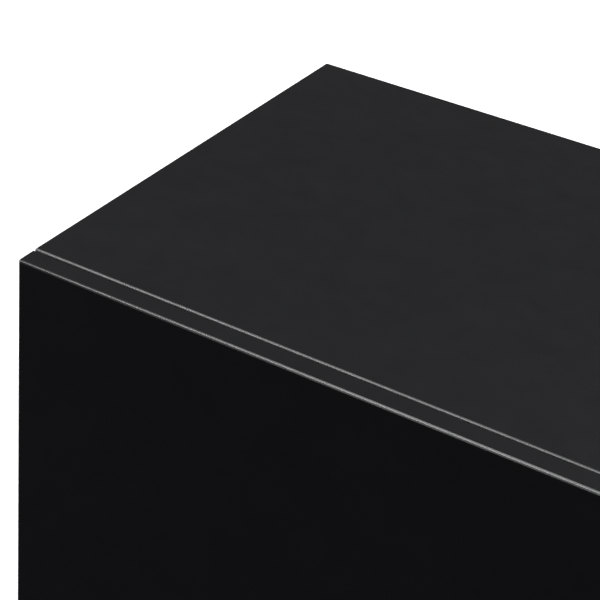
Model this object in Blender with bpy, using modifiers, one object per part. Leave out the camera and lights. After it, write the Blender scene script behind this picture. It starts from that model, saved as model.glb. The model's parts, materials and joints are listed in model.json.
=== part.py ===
"""Black laminated apple box with a push-to-open front door.

Every length is in metres. The origin is the centre of the box's footprint, +Z is up, the door faces -Y,
its hinges are at the +X end and its free edge is at the -X end.
"""

import math

import bmesh
import bpy
from mathutils import Matrix, Vector

# Overall size of the closed box
LENGTH = 0.508
DEPTH = 0.305
HEIGHT = 0.203

# Boards
SKIN = 0.012
DOOR_THICKNESS = 0.010
END_THICKNESS = 0.018
DIVIDER_THICKNESS = 0.018
HOUSING_DEPTH = 0.004
FIT = 0.0003

# Door position at rest: the latch holds its free edge further off than its hinge edge
FREE_GAP = 0.0011
HINGE_GAP = 0.0004
DOOR_TOP_DROP = 0.0002
DOOR_FLOOR_CLEARANCE = 0.001

# Rounded edges
ARRIS = 0.0005
PANEL_FRONT_ARRIS = 0.0012
DOOR_FRONT_ARRIS = 0.0015
DOOR_BACK_TOP_ARRIS = 0.0002
SWING_RADIUS = 0.0055
SWING_SEGMENTS = 8
EDGE_SEGMENTS = 3
SHARP_ANGLE = math.radians(30)

# Hand holes in the ends
HAND_HOLE_LENGTH = 0.102
HAND_HOLE_HEIGHT = 0.032
HAND_HOLE_RIM = 0.003
HAND_HOLE_STEPS = 12

# Dowels
DOWEL_RADIUS = 0.003
DOWEL_IN_PANEL = 0.008
DOWEL_IN_EDGE = 0.015
DOWEL_CHAMFER = 0.0006
DOWEL_INSET = 0.040
DOWELS_PER_JOINT = 3
BACK_DOWELS_PER_JOINT = 2
BORE_SEGMENTS = 12

# Butt hinges
HINGE_LENGTH = 0.050
HINGE_INSET = 0.045
HINGE_SIDE_INSET = 0.0022
KNUCKLES = 5
KNUCKLE_GAP = 0.0003
BARREL_RADIUS = 0.0020
PIN_RADIUS = 0.0010
PIN_CLEARANCE = 0.0001
PIN_CHAMFER = 0.0002
LEAF_WIDTH = 0.012
LEAF_THICKNESS = 0.0012
LEAF_BARREL_CLEARANCE = 0.0004
LEAF_SCREW_SPACING = 0.030
BARREL_SEGMENTS = 16

# Countersunk screws
SCREW_RADIUS = 0.00125
SCREW_HEAD_RADIUS = 0.0024
SCREW_HEAD_DEPTH = 0.0009
SCREW_HEAD_EDGE = 0.00015
SCREW_POINT = 0.0020
CARCASS_SCREW_LENGTH = 0.016
DOOR_SCREW_LENGTH = 0.0075
LATCH_SCREW_LENGTH = 0.013
SCREW_SEGMENTS = 12

# Push-to-open latch
LATCH_LENGTH = 0.044
LATCH_WIDTH = 0.013
LATCH_HEIGHT = 0.014
LATCH_ROUNDING = 0.0015
LATCH_SETBACK = 0.0016
LATCH_BACK_WALL = 0.0020
LATCH_EAR = 0.010
LATCH_EAR_LENGTH = 0.020
LATCH_EAR_THICKNESS = 0.0028
PLUNGER_RADIUS = 0.0032
PLUNGER_LENGTH = 0.030
PLUNGER_WALL = 0.0008
PLUNGER_HOLLOW = 0.012
PLUNGER_NOSE_ROUNDING = 0.0004
PLUNGER_SEGMENTS = 20
MAGNET_RADIUS = 0.0020
MAGNET_DEPTH = 0.0025
SPRING_WIRE_RADIUS = 0.0003
SPRING_TURNS = 8
SPRING_POINTS_PER_TURN = 8

# Strike plate on the door
STRIKE_RADIUS = 0.0060
STRIKE_THICKNESS = 0.0010
STRIKE_SEGMENTS = 24

# Modelling aids
CUT_OVERSHOOT = 0.012
MERGE_DISTANCE = 0.00001

# Planes that several pieces share; the door's are those of the door swung flat against its hinges
CARCASS_FRONT = -DEPTH / 2 + DOOR_THICKNESS + FREE_GAP
DOOR_BACK = CARCASS_FRONT - HINGE_GAP
DOOR_FRONT = DOOR_BACK - DOOR_THICKNESS
BACK_FACE = DEPTH / 2
BACK_PANEL_FRONT = BACK_FACE - SKIN
LEFT_FACE = -LENGTH / 2
RIGHT_FACE = LENGTH / 2
TOP_UNDERSIDE = HEIGHT - SKIN
END_CENTRES = (LEFT_FACE + END_THICKNESS / 2, RIGHT_FACE - END_THICKNESS / 2)
LEFT_END_INNER = LEFT_FACE + END_THICKNESS
CARCASS_MIDDLE = (CARCASS_FRONT + BACK_FACE) / 2

HINGE_AXIS = Vector((RIGHT_FACE - HINGE_SIDE_INSET, DOOR_BACK + HINGE_GAP / 2))
HINGE_HEIGHTS = {"lower": HINGE_INSET, "upper": HEIGHT - HINGE_INSET}
LEAF_FAR_EDGE = HINGE_AXIS.x - BARREL_RADIUS - LEAF_BARREL_CLEARANCE - LEAF_WIDTH
LEAF_SCREW_X = LEAF_FAR_EDGE + LEAF_WIDTH / 2
LEAF_FACE = HINGE_GAP / 2
DOOR_SLOPE = (FREE_GAP - HINGE_GAP) / LENGTH

LATCH_FRONT = CARCASS_FRONT + LATCH_SETBACK
LATCH_MIDDLE = LATCH_FRONT + LATCH_LENGTH / 2
LATCH_BORE_END = LATCH_FRONT + LATCH_LENGTH - LATCH_BACK_WALL
LATCH_X = LEFT_END_INNER + FIT + LATCH_WIDTH / 2
LATCH_Z = HEIGHT / 2
STRIKE_FRONT = DOOR_BACK + FIT + STRIKE_THICKNESS
PLUNGER_TRAVEL = DOOR_SLOPE * (HINGE_AXIS.x - LATCH_X)
PLUNGER_NOSE = STRIKE_FRONT + FIT - PLUNGER_TRAVEL
PLUNGER_START = Vector((LATCH_X, PLUNGER_NOSE, LATCH_Z))

BLACK_LAMINATE = ("black_laminate", (0.018, 0.018, 0.019), 0.45, 0.0)
BEECH = ("beech", (0.55, 0.38, 0.22), 0.60, 0.0)
NICKEL_STEEL = ("nickel_steel", (0.55, 0.55, 0.54), 0.30, 1.0)
BLACK_SCREW = ("black_screw", (0.05, 0.05, 0.05), 0.40, 0.8)
LATCH_PLASTIC = ("latch_plastic", (0.06, 0.06, 0.065), 0.50, 0.0)
PLUNGER_PLASTIC = ("plunger_plastic", (0.35, 0.35, 0.36), 0.45, 0.0)
SPRING_STEEL = ("spring_steel", (0.60, 0.60, 0.60), 0.25, 1.0)


# Collections, materials and small mesh helpers

def clear_scene():
    """Remove every object so that a second run starts from nothing."""
    for item in list(bpy.data.objects):
        bpy.data.objects.remove(item, do_unlink=True)


def new_collection(name):
    """Return a collection linked to the scene."""
    collection = bpy.data.collections.new(name)
    bpy.context.scene.collection.children.link(collection)
    return collection


def principled(finish):
    """Return the material of a finish, made on its first use."""
    name, colour, roughness, metallic = finish
    material = bpy.data.materials.get(name)
    if material is None:
        material = bpy.data.materials.new(name)
        material.use_nodes = True
        shader = material.node_tree.nodes["Principled BSDF"]
        shader.inputs["Base Color"].default_value = (*colour, 1.0)
        shader.inputs["Roughness"].default_value = roughness
        shader.inputs["Metallic"].default_value = metallic
    return material


def add_object(name, form, finish=None):
    """Turn a bmesh into an object: a piece when it has a finish, a cutter when it has none."""
    mesh = bpy.data.meshes.new(name)
    form.to_mesh(mesh)
    form.free()
    item = bpy.data.objects.new(name, mesh)
    if finish is None:
        CUTTERS.objects.link(item)
        item.hide_render = True
        item.display_type = "WIRE"
    else:
        PIECES.objects.link(item)
        mesh.materials.append(principled(finish))
    return item


def add_box(form, low, high):
    """Add a box between two corners to a bmesh and return its vertices."""
    low = Vector(low)
    high = Vector(high)
    corners = bmesh.ops.create_cube(form, size=1.0)["verts"]
    bmesh.ops.scale(form, vec=high - low, verts=corners)
    bmesh.ops.translate(form, vec=(low + high) / 2, verts=corners)
    return corners


def along(direction):
    """Return the rotation that turns +Z to a direction."""
    return Vector((0, 0, 1)).rotation_difference(Vector(direction)).to_matrix().to_4x4()


def add_cylinder(form, start, direction, length, radius, segments):
    """Add a cylinder that starts at a point and runs along a direction."""
    middle = Vector(start) + Vector(direction).normalized() * length / 2
    bmesh.ops.create_cone(
        form,
        cap_ends=True,
        segments=segments,
        radius1=radius,
        radius2=radius,
        depth=length,
        matrix=Matrix.Translation(middle) @ along(direction),
    )


def evaluated_mesh(item):
    """Return the item's mesh with its modifiers applied."""
    depsgraph = bpy.context.evaluated_depsgraph_get()
    return bpy.data.meshes.new_from_object(item.evaluated_get(depsgraph), depsgraph=depsgraph)


def apply_modifiers(item):
    """Replace the item's mesh by its evaluated one."""
    item.data = evaluated_mesh(item)
    item.modifiers.clear()


def boolean(item, cutter, operation="DIFFERENCE"):
    """Cut, join or trim the item with another object."""
    modifier = item.modifiers.new(cutter.name, "BOOLEAN")
    modifier.object = cutter
    modifier.operation = operation
    modifier.solver = "EXACT"


def smooth(item):
    """Shade the round faces smooth and keep the corners sharp."""
    item.data.shade_smooth()
    item.data.set_sharp_from_angle(angle=SHARP_ANGLE)


def turned_mesh(name, profile, segments):
    """Return the mesh of a profile of (radius, height) points, listed top to bottom, turned about Z."""
    form = bmesh.new()
    points = [form.verts.new((radius, 0, height)) for radius, height in profile]
    for upper, lower in zip(points, points[1:]):
        form.edges.new((upper, lower))
    item = add_object(name, form)
    turn = item.modifiers.new("turn", "SCREW")
    turn.angle = math.tau
    turn.screw_offset = 0
    turn.steps = segments
    turn.render_steps = segments
    turn.use_merge_vertices = True
    turn.merge_threshold = MERGE_DISTANCE
    mesh = evaluated_mesh(item)
    bpy.data.objects.remove(item, do_unlink=True)
    return mesh


def add_copy(form, mesh, start, direction):
    """Add a copy of a turned mesh whose origin is at a point and whose +Z runs along a direction."""
    first = len(form.verts)
    form.from_mesh(mesh)
    form.verts.ensure_lookup_table()
    bmesh.ops.transform(
        form,
        matrix=Matrix.Translation(start) @ along(direction),
        verts=form.verts[first:],
    )


def turned_piece(name, mesh, start, direction, finish):
    """Make an object from a copy of a turned mesh, its origin at a point and its +Z along a direction."""
    form = bmesh.new()
    add_copy(form, mesh, start, direction)
    item = add_object(name, form, finish)
    smooth(item)
    return item


def round_edges(item, default, special=None, rim=None):
    """Round the sharp edges of a board.

    An edge along two outer sides of the board takes the radius given for that pair in special, or the
    default. An edge in the middle of one side is the rim of a hole.
    """
    special = special or {}
    mesh = item.data
    form = bmesh.new()
    form.from_mesh(mesh)
    low = [min(vertex.co[axis] for vertex in form.verts) for axis in range(3)]
    high = [max(vertex.co[axis] for vertex in form.verts) for axis in range(3)]
    widest = max([default, rim or 0.0, *special.values()])
    weight = form.edges.layers.float.new("bevel_weight_edge")
    for edge in form.edges:
        if edge.calc_face_angle(0.0) < SHARP_ANGLE:
            continue
        sides = set()
        for axis, letter in enumerate("xyz"):
            ends = [vertex.co[axis] for vertex in edge.verts]
            if max(ends) < low[axis] + FIT / 2:
                sides.add("-" + letter)
            if min(ends) > high[axis] - FIT / 2:
                sides.add("+" + letter)
        if len(sides) == 2:
            edge[weight] = special.get(frozenset(sides), default) / widest
        elif rim is not None and sides:
            edge[weight] = rim / widest
    form.to_mesh(mesh)
    form.free()
    bevel = item.modifiers.new("rounded edges", "BEVEL")
    bevel.limit_method = "WEIGHT"
    bevel.width = widest
    bevel.segments = EDGE_SEGMENTS


def new_box(name, low, high, finish=None):
    """Make an object that is a plain box between two corners."""
    form = bmesh.new()
    add_box(form, low, high)
    return add_object(name, form, finish)


def board(name, low, high, finish=BLACK_LAMINATE, arris=ARRIS, special=None):
    """Make a board with rounded edges."""
    item = new_box(name, low, high, finish)
    round_edges(item, arris, special)
    apply_modifiers(item)
    return item


def bored(item, bores):
    """Sink blind bores, each a (start, direction, depth, radius) tuple, into a piece."""
    form = bmesh.new()
    for start, direction, depth, radius in bores:
        inward = Vector(direction).normalized()
        outside = Vector(start) - inward * CUT_OVERSHOOT
        add_cylinder(form, outside, inward, depth + CUT_OVERSHOOT, radius, BORE_SEGMENTS)
    boolean(item, add_object(item.name + "_bores", form))


def recessed(item, name, low, high):
    """Cut a box-shaped recess between two corners out of a piece."""
    boolean(item, new_box(item.name + "_" + name, low, high))


def swing_corner(item, place, side):
    """Round the upright corner at a board's hinge end, so that the door swings clear of the carcass.

    place is where the board's face towards the joint is; side is +1 for a board behind it and -1 for one
    in front of it.
    """
    middle = (RIGHT_FACE - SWING_RADIUS, place + side * SWING_RADIUS)
    outline = []
    for step in range(SWING_SEGMENTS + 1):
        angle = math.pi / 2 * step / SWING_SEGMENTS
        outline.append((
            middle[0] + SWING_RADIUS * math.sin(angle),
            middle[1] - side * SWING_RADIUS * math.cos(angle),
        ))
    outline.append((RIGHT_FACE + CUT_OVERSHOOT, middle[1]))
    outline.append((RIGHT_FACE + CUT_OVERSHOOT, place - side * CUT_OVERSHOOT))
    outline.append((middle[0], place - side * CUT_OVERSHOOT))
    form = bmesh.new()
    base = form.faces.new([form.verts.new((x, y, -CUT_OVERSHOOT)) for x, y in outline])
    raised = bmesh.ops.extrude_face_region(form, geom=[base])["geom"]
    upper = [element for element in raised if isinstance(element, bmesh.types.BMVert)]
    bmesh.ops.translate(form, verts=upper, vec=(0, 0, HEIGHT + CUT_OVERSHOOT * 2))
    bmesh.ops.recalc_face_normals(form, faces=form.faces)
    boolean(item, add_object(item.name + "_swing_corner", form))


# Places of the hidden dowels and of the screws

def spread(low, high, count):
    """Return evenly spaced values from low to high."""
    return [low + (high - low) * step / (count - 1) for step in range(count)]


def end_dowel_places(height):
    """Return the points where dowels cross the joint between a panel and the two ends."""
    rows = spread(CARCASS_FRONT + DOWEL_INSET, BACK_PANEL_FRONT - DOWEL_INSET, DOWELS_PER_JOINT)
    return [Vector((x, y, height)) for x in END_CENTRES for y in rows]


def back_dowel_places():
    """Return the points where dowels cross the joint between the back panel and the uprights."""
    rows = spread(SKIN + DOWEL_INSET, TOP_UNDERSIDE - DOWEL_INSET, BACK_DOWELS_PER_JOINT)
    uprights = (END_CENTRES[0], 0.0, END_CENTRES[1])
    return [Vector((x, BACK_PANEL_FRONT, z)) for x in uprights for z in rows]


def dowel_bores(places, direction, depth):
    """Return bores for the dowels that start at a joint and run into one of its boards."""
    return [(place, direction, depth + FIT, DOWEL_RADIUS + FIT) for place in places]


def hinge_screw_places(side):
    """Return the head centres of a leaf's screws; side is +1 for the carcass and -1 for the door."""
    face = HINGE_AXIS.y + side * LEAF_FACE
    offsets = (-LEAF_SCREW_SPACING / 2, LEAF_SCREW_SPACING / 2)
    return [Vector((LEAF_SCREW_X, face, z + off)) for z in HINGE_HEIGHTS.values() for off in offsets]


def latch_screw_places():
    """Return the head centres of the latch's screws, one in each ear."""
    face = LEFT_END_INNER + FIT + LATCH_EAR_THICKNESS
    offset = (LATCH_HEIGHT + LATCH_EAR) / 2
    return [Vector((face, LATCH_MIDDLE, LATCH_Z + side * offset)) for side in (-1, 1)]


def strike_screw_place():
    """Return the head centre of the strike plate's screw."""
    return Vector((LATCH_X, STRIKE_FRONT, LATCH_Z))


def screw_bores(places, direction, length):
    """Return the pilot bores of screws whose head centres are given."""
    return [(place, direction, length + FIT, SCREW_RADIUS + FIT) for place in places]


# Fasteners

def dowel_mesh():
    """Return a dowel with chamfered ends that crosses its joint at its origin."""
    rim = DOWEL_RADIUS - DOWEL_CHAMFER
    top = DOWEL_IN_EDGE
    bottom = -DOWEL_IN_PANEL
    profile = [
        (0, top),
        (rim, top),
        (DOWEL_RADIUS, top - DOWEL_CHAMFER),
        (DOWEL_RADIUS, bottom + DOWEL_CHAMFER),
        (rim, bottom),
        (0, bottom),
    ]
    return turned_mesh("dowel", profile, BORE_SEGMENTS)


def screw_mesh(length):
    """Return a countersunk screw whose head is flush at its origin and whose point is up +Z."""
    profile = [
        (0, length),
        (SCREW_RADIUS / 2, length - SCREW_POINT / 4),
        (SCREW_RADIUS, length - SCREW_POINT),
        (SCREW_RADIUS, SCREW_HEAD_DEPTH),
        (SCREW_HEAD_RADIUS, SCREW_HEAD_EDGE),
        (SCREW_HEAD_RADIUS, 0),
        (0, 0),
    ]
    return turned_mesh("screw", profile, SCREW_SEGMENTS)


def countersink_mesh(depth):
    """Return the clearance cutter of a screw head and shank through a plate of a given depth."""
    radius = SCREW_RADIUS + FIT
    head = SCREW_HEAD_RADIUS + FIT
    profile = [
        (0, depth + FIT),
        (radius, depth + FIT),
        (radius, SCREW_HEAD_DEPTH),
        (head, SCREW_HEAD_EDGE),
        (head, -FIT),
        (0, -FIT),
    ]
    return turned_mesh("countersink", profile, SCREW_SEGMENTS)


def countersunk(item, places, direction, depth):
    """Cut countersunk screw holes through a plate."""
    form = bmesh.new()
    mesh = countersink_mesh(depth)
    for place in places:
        add_copy(form, mesh, place, direction)
    boolean(item, add_object(item.name + "_screw_holes", form))


# Carcass

def flat_panel(name, low_z, high_z, inner_z, outward):
    """Make the top or bottom panel: dowel bores and the divider's housing on its inner side."""
    outer = "+z" if outward > 0 else "-z"
    special = {frozenset({"-y", outer}): PANEL_FRONT_ARRIS}
    item = new_box(name, (LEFT_FACE, CARCASS_FRONT, low_z), (RIGHT_FACE, BACK_FACE, high_z), BLACK_LAMINATE)
    half = DIVIDER_THICKNESS / 2 + FIT
    depths = sorted((inner_z - outward * HOUSING_DEPTH, inner_z + outward * HOUSING_DEPTH))
    recessed(
        item,
        "housing",
        (-half, CARCASS_FRONT - CUT_OVERSHOOT, depths[0]),
        (half, BACK_PANEL_FRONT + FIT, depths[1]),
    )
    apply_modifiers(item)
    round_edges(item, ARRIS, special)
    apply_modifiers(item)
    swing_corner(item, CARCASS_FRONT, 1)
    bored(item, dowel_bores(end_dowel_places(inner_z), (0, 0, outward), DOWEL_IN_PANEL))
    return item


def top_panel():
    """Make the top panel."""
    return flat_panel("top_panel", TOP_UNDERSIDE, HEIGHT, TOP_UNDERSIDE, 1)


def bottom_panel():
    """Make the bottom panel."""
    return flat_panel("bottom_panel", 0, SKIN, SKIN, -1)


def back_panel():
    """Make the back panel, which stands between the top and bottom panels."""
    item = board(
        "back_panel",
        (LEFT_FACE, BACK_PANEL_FRONT, SKIN + FIT),
        (RIGHT_FACE, BACK_FACE, TOP_UNDERSIDE - FIT),
    )
    bored(item, dowel_bores(back_dowel_places(), (0, 1, 0), DOWEL_IN_PANEL))
    return item


def stadium(length, height, steps):
    """Return the points of an outline with two half-round ends."""
    radius = height / 2
    reach = length / 2 - radius
    points = []
    for side in (1, -1):
        for step in range(steps + 1):
            angle = math.pi * (step / steps - 0.5)
            points.append((side * (reach + radius * math.cos(angle)), side * radius * math.sin(angle)))
    return points


def hand_hole_cutter(name, centre_x):
    """Make the cutter of a hand hole: its flat outline given a thickness, stood up across the end."""
    curve = bpy.data.curves.new(name, "CURVE")
    curve.dimensions = "2D"
    curve.fill_mode = "BOTH"
    curve.extrude = END_THICKNESS
    outline = curve.splines.new("POLY")
    points = stadium(HAND_HOLE_LENGTH, HAND_HOLE_HEIGHT, HAND_HOLE_STEPS)
    outline.points.add(len(points) - 1)
    for point, (across, up) in zip(outline.points, points):
        point.co = (across, up, 0, 1)
    outline.use_cyclic_u = True
    flat = bpy.data.objects.new(name, curve)
    CUTTERS.objects.link(flat)
    form = bmesh.new()
    form.from_mesh(evaluated_mesh(flat))
    bpy.data.objects.remove(flat, do_unlink=True)
    bmesh.ops.remove_doubles(form, verts=form.verts, dist=MERGE_DISTANCE)
    upright = Matrix(((0, 0, 1), (1, 0, 0), (0, 1, 0))).to_4x4()
    place = Matrix.Translation((centre_x, CARCASS_MIDDLE, HEIGHT / 2))
    bmesh.ops.transform(form, matrix=place @ upright, verts=form.verts)
    return add_object(name, form)


def end_board(name, centre_x):
    """Make an end board with its hand hole and dowel bores."""
    half = END_THICKNESS / 2
    low = (centre_x - half, CARCASS_FRONT, SKIN + FIT)
    high = (centre_x + half, BACK_PANEL_FRONT - FIT, TOP_UNDERSIDE - FIT)
    item = new_box(name, low, high, BLACK_LAMINATE)
    boolean(item, hand_hole_cutter(name + "_hand_hole", centre_x))
    apply_modifiers(item)
    round_edges(item, ARRIS, rim=HAND_HOLE_RIM)
    apply_modifiers(item)
    top = [place for place in end_dowel_places(high[2]) if abs(place.x - centre_x) < half]
    bottom = [place for place in end_dowel_places(low[2]) if abs(place.x - centre_x) < half]
    back = [place for place in back_dowel_places() if abs(place.x - centre_x) < half]
    bores = dowel_bores(top, (0, 0, -1), DOWEL_IN_EDGE)
    bores += dowel_bores(bottom, (0, 0, 1), DOWEL_IN_EDGE)
    bores += dowel_bores(back, (0, -1, 0), DOWEL_IN_EDGE)
    return item, bores


def left_end():
    """Make the left end, which carries the latch."""
    item, bores = end_board("left_end", END_CENTRES[0])
    bored(item, bores + screw_bores(latch_screw_places(), (-1, 0, 0), LATCH_SCREW_LENGTH))
    return item


def right_end():
    """Make the right end, which carries the hinges."""
    item, bores = end_board("right_end", END_CENTRES[1])
    swing_corner(item, CARCASS_FRONT, 1)
    bored(item, bores + screw_bores(hinge_screw_places(1), (0, 1, 0), CARCASS_SCREW_LENGTH))
    hinge_mortises(item, 1)
    return item


def centre_divider():
    """Make the upright in the middle, housed in the top and bottom panels."""
    half = DIVIDER_THICKNESS / 2
    item = board(
        "centre_divider",
        (-half, CARCASS_FRONT, SKIN - HOUSING_DEPTH + FIT),
        (half, BACK_PANEL_FRONT - FIT, TOP_UNDERSIDE + HOUSING_DEPTH - FIT),
    )
    places = [place for place in back_dowel_places() if abs(place.x) < half]
    bored(item, dowel_bores(places, (0, -1, 0), DOWEL_IN_EDGE))
    return item


def dowels():
    """Make the dowels, numbered from the front at each end and from the bottom at the back."""
    mesh = dowel_mesh()
    joints = {
        "top_dowel": (end_dowel_places(TOP_UNDERSIDE), (0, 0, -1)),
        "bottom_dowel": (end_dowel_places(SKIN), (0, 0, 1)),
        "back_dowel": (back_dowel_places(), (0, -1, 0)),
    }
    for name, (places, direction) in joints.items():
        for number, place in enumerate(places, 1):
            turned_piece(f"{name}_{number}", mesh, place, direction, BEECH)


# Door and hinges

def hinge_mortises(item, side):
    """Let the hinge leaves and barrels into a board; side is +1 for the carcass and -1 for the door."""
    mouth = HINGE_AXIS.y - side * CUT_OVERSHOOT
    cuts = {
        "leaf": (LEAF_FAR_EDGE - FIT, LEAF_FACE + LEAF_THICKNESS + FIT),
        "barrel": (HINGE_AXIS.x - BARREL_RADIUS - FIT, BARREL_RADIUS + FIT),
    }
    half = HINGE_LENGTH / 2 + FIT
    for height_name, height in HINGE_HEIGHTS.items():
        for cut_name, (low_x, depth) in cuts.items():
            depths = sorted((HINGE_AXIS.y + side * depth, mouth))
            recessed(
                item,
                f"{height_name}_{cut_name}_mortise",
                (low_x, depths[0], height - half),
                (RIGHT_FACE + CUT_OVERSHOOT, depths[1], height + half),
            )


def door_panel(door_axis):
    """Make the door and hang it on its axis."""
    special = {
        frozenset({"-y", "+z"}): DOOR_FRONT_ARRIS,
        frozenset({"-y", "-z"}): DOOR_FRONT_ARRIS,
        frozenset({"-y", "-x"}): DOOR_FRONT_ARRIS,
        frozenset({"-y", "+x"}): DOOR_FRONT_ARRIS,
        frozenset({"+y", "+z"}): DOOR_BACK_TOP_ARRIS,
    }
    item = board(
        "door_panel",
        (LEFT_FACE, DOOR_FRONT, DOOR_FLOOR_CLEARANCE),
        (RIGHT_FACE, DOOR_BACK, HEIGHT - DOOR_TOP_DROP),
        special=special,
    )
    swing_corner(item, DOOR_BACK, -1)
    bores = screw_bores(hinge_screw_places(-1), (0, -1, 0), DOOR_SCREW_LENGTH)
    bores += screw_bores([strike_screw_place()], (0, -1, 0), DOOR_SCREW_LENGTH)
    bored(item, bores)
    hinge_mortises(item, -1)
    apply_modifiers(item)
    hang(item, door_axis)


def hang(item, axis):
    """Parent a piece to the empty on a joint axis and keep its place."""
    item.parent = axis
    item.matrix_parent_inverse = axis.matrix_world.inverted()


def knuckle_spans(side):
    """Return the (low, high) heights of a leaf's knuckles about the hinge's middle."""
    pitch = (HINGE_LENGTH + KNUCKLE_GAP) / KNUCKLES
    first = 0 if side > 0 else 1
    spans = []
    for index in range(first, KNUCKLES, 2):
        low = -HINGE_LENGTH / 2 + index * pitch
        spans.append((low, low + pitch - KNUCKLE_GAP))
    return spans


def hinge_leaf(name, height, side):
    """Make a leaf: a plate, a tongue and a knuckle for each span, bored for the pin."""
    near = HINGE_AXIS.y + side * LEAF_FACE
    far = near + side * LEAF_THICKNESS
    faces = sorted((near, far))
    plate_edge = LEAF_FAR_EDGE + LEAF_WIDTH
    item = new_box(
        name,
        (LEAF_FAR_EDGE, faces[0], height - HINGE_LENGTH / 2),
        (plate_edge, faces[1], height + HINGE_LENGTH / 2),
        NICKEL_STEEL,
    )
    for index, (low, high) in enumerate(knuckle_spans(side)):
        tongue = new_box(
            f"{name}_tongue_{index}",
            (plate_edge - LEAF_THICKNESS, faces[0], height + low),
            (HINGE_AXIS.x, faces[1], height + high),
        )
        boolean(item, tongue, "UNION")
        form = bmesh.new()
        start = Vector((*HINGE_AXIS, height + low))
        add_cylinder(form, start, (0, 0, 1), high - low, BARREL_RADIUS, BARREL_SEGMENTS)
        boolean(item, add_object(f"{name}_knuckle_{index}", form), "UNION")
    form = bmesh.new()
    start = Vector((*HINGE_AXIS, height - HINGE_LENGTH))
    bore = PIN_RADIUS + PIN_CLEARANCE
    add_cylinder(form, start, (0, 0, 1), HINGE_LENGTH * 2, bore, BARREL_SEGMENTS)
    boolean(item, add_object(name + "_pin_bore", form))
    places = [place for place in hinge_screw_places(side) if abs(place.z - height) < HINGE_LENGTH / 2]
    countersunk(item, places, (0, side, 0), LEAF_THICKNESS)
    apply_modifiers(item)
    smooth(item)
    return item


def hinge_pin(name, height):
    """Make a hinge pin as long as its barrel."""
    rim = PIN_RADIUS - PIN_CHAMFER
    profile = [
        (0, HINGE_LENGTH / 2),
        (rim, HINGE_LENGTH / 2),
        (PIN_RADIUS, HINGE_LENGTH / 2 - PIN_CHAMFER),
        (PIN_RADIUS, -HINGE_LENGTH / 2 + PIN_CHAMFER),
        (rim, -HINGE_LENGTH / 2),
        (0, -HINGE_LENGTH / 2),
    ]
    mesh = turned_mesh(name + "_form", profile, BARREL_SEGMENTS)
    return turned_piece(name, mesh, Vector((*HINGE_AXIS, height)), (0, 0, 1), NICKEL_STEEL)


def hinges(door_axis):
    """Make both butt hinges and their screws."""
    for name, height in HINGE_HEIGHTS.items():
        hinge_leaf(name + "_hinge_carcass_leaf", height, 1)
        hang(hinge_leaf(name + "_hinge_door_leaf", height, -1), door_axis)
        hinge_pin(name + "_hinge_pin", height)
    mesh = screw_mesh(CARCASS_SCREW_LENGTH)
    for number, place in enumerate(hinge_screw_places(1), 1):
        turned_piece(f"hinge_carcass_screw_{number}", mesh, place, (0, 1, 0), NICKEL_STEEL)
    mesh = screw_mesh(DOOR_SCREW_LENGTH)
    for number, place in enumerate(hinge_screw_places(-1), 1):
        screw = turned_piece(f"hinge_door_screw_{number}", mesh, place, (0, -1, 0), NICKEL_STEEL)
        hang(screw, door_axis)


# Push-to-open latch

def latch_housing():
    """Make the latch housing: a rounded case with two screw ears, bored for the plunger."""
    inner = LEFT_END_INNER + FIT
    half = LATCH_HEIGHT / 2
    item = board(
        "latch_housing",
        (inner, LATCH_FRONT, LATCH_Z - half),
        (inner + LATCH_WIDTH, LATCH_FRONT + LATCH_LENGTH, LATCH_Z + half),
        finish=LATCH_PLASTIC,
        arris=LATCH_ROUNDING,
    )
    ears = new_box(
        "latch_ears",
        (inner, LATCH_MIDDLE - LATCH_EAR_LENGTH / 2, LATCH_Z - half - LATCH_EAR),
        (inner + LATCH_EAR_THICKNESS, LATCH_MIDDLE + LATCH_EAR_LENGTH / 2, LATCH_Z + half + LATCH_EAR),
    )
    boolean(item, ears, "UNION")
    form = bmesh.new()
    add_cylinder(
        form,
        (LATCH_X, CARCASS_FRONT - CUT_OVERSHOOT, LATCH_Z),
        (0, 1, 0),
        LATCH_BORE_END - CARCASS_FRONT + CUT_OVERSHOOT,
        PLUNGER_RADIUS + FIT,
        PLUNGER_SEGMENTS,
    )
    boolean(item, add_object("latch_bore", form))
    countersunk(item, latch_screw_places(), (-1, 0, 0), LATCH_EAR_THICKNESS)
    apply_modifiers(item)
    smooth(item)
    return item


def latch_plunger():
    """Make the plunger: a turned nose with a recess for the magnet and a hollow tail for the spring."""
    recess = MAGNET_RADIUS + FIT
    recess_floor = MAGNET_DEPTH + FIT
    hollow = PLUNGER_RADIUS - PLUNGER_WALL
    hollow_floor = PLUNGER_LENGTH - PLUNGER_HOLLOW
    profile = [
        (0, hollow_floor),
        (hollow, hollow_floor),
        (hollow, PLUNGER_LENGTH),
        (PLUNGER_RADIUS, PLUNGER_LENGTH),
        (PLUNGER_RADIUS, PLUNGER_NOSE_ROUNDING),
        (PLUNGER_RADIUS - PLUNGER_NOSE_ROUNDING, 0),
        (recess, 0),
        (recess, recess_floor),
        (0, recess_floor),
    ]
    mesh = turned_mesh("plunger_form", profile, PLUNGER_SEGMENTS)
    return turned_piece("latch_plunger", mesh, PLUNGER_START, (0, 1, 0), PLUNGER_PLASTIC)


def latch_magnet():
    """Make the magnet that sits flush in the plunger's nose."""
    form = bmesh.new()
    add_cylinder(form, PLUNGER_START, (0, 1, 0), MAGNET_DEPTH, MAGNET_RADIUS, BORE_SEGMENTS)
    item = add_object("latch_magnet", form, NICKEL_STEEL)
    smooth(item)
    return item


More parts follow.
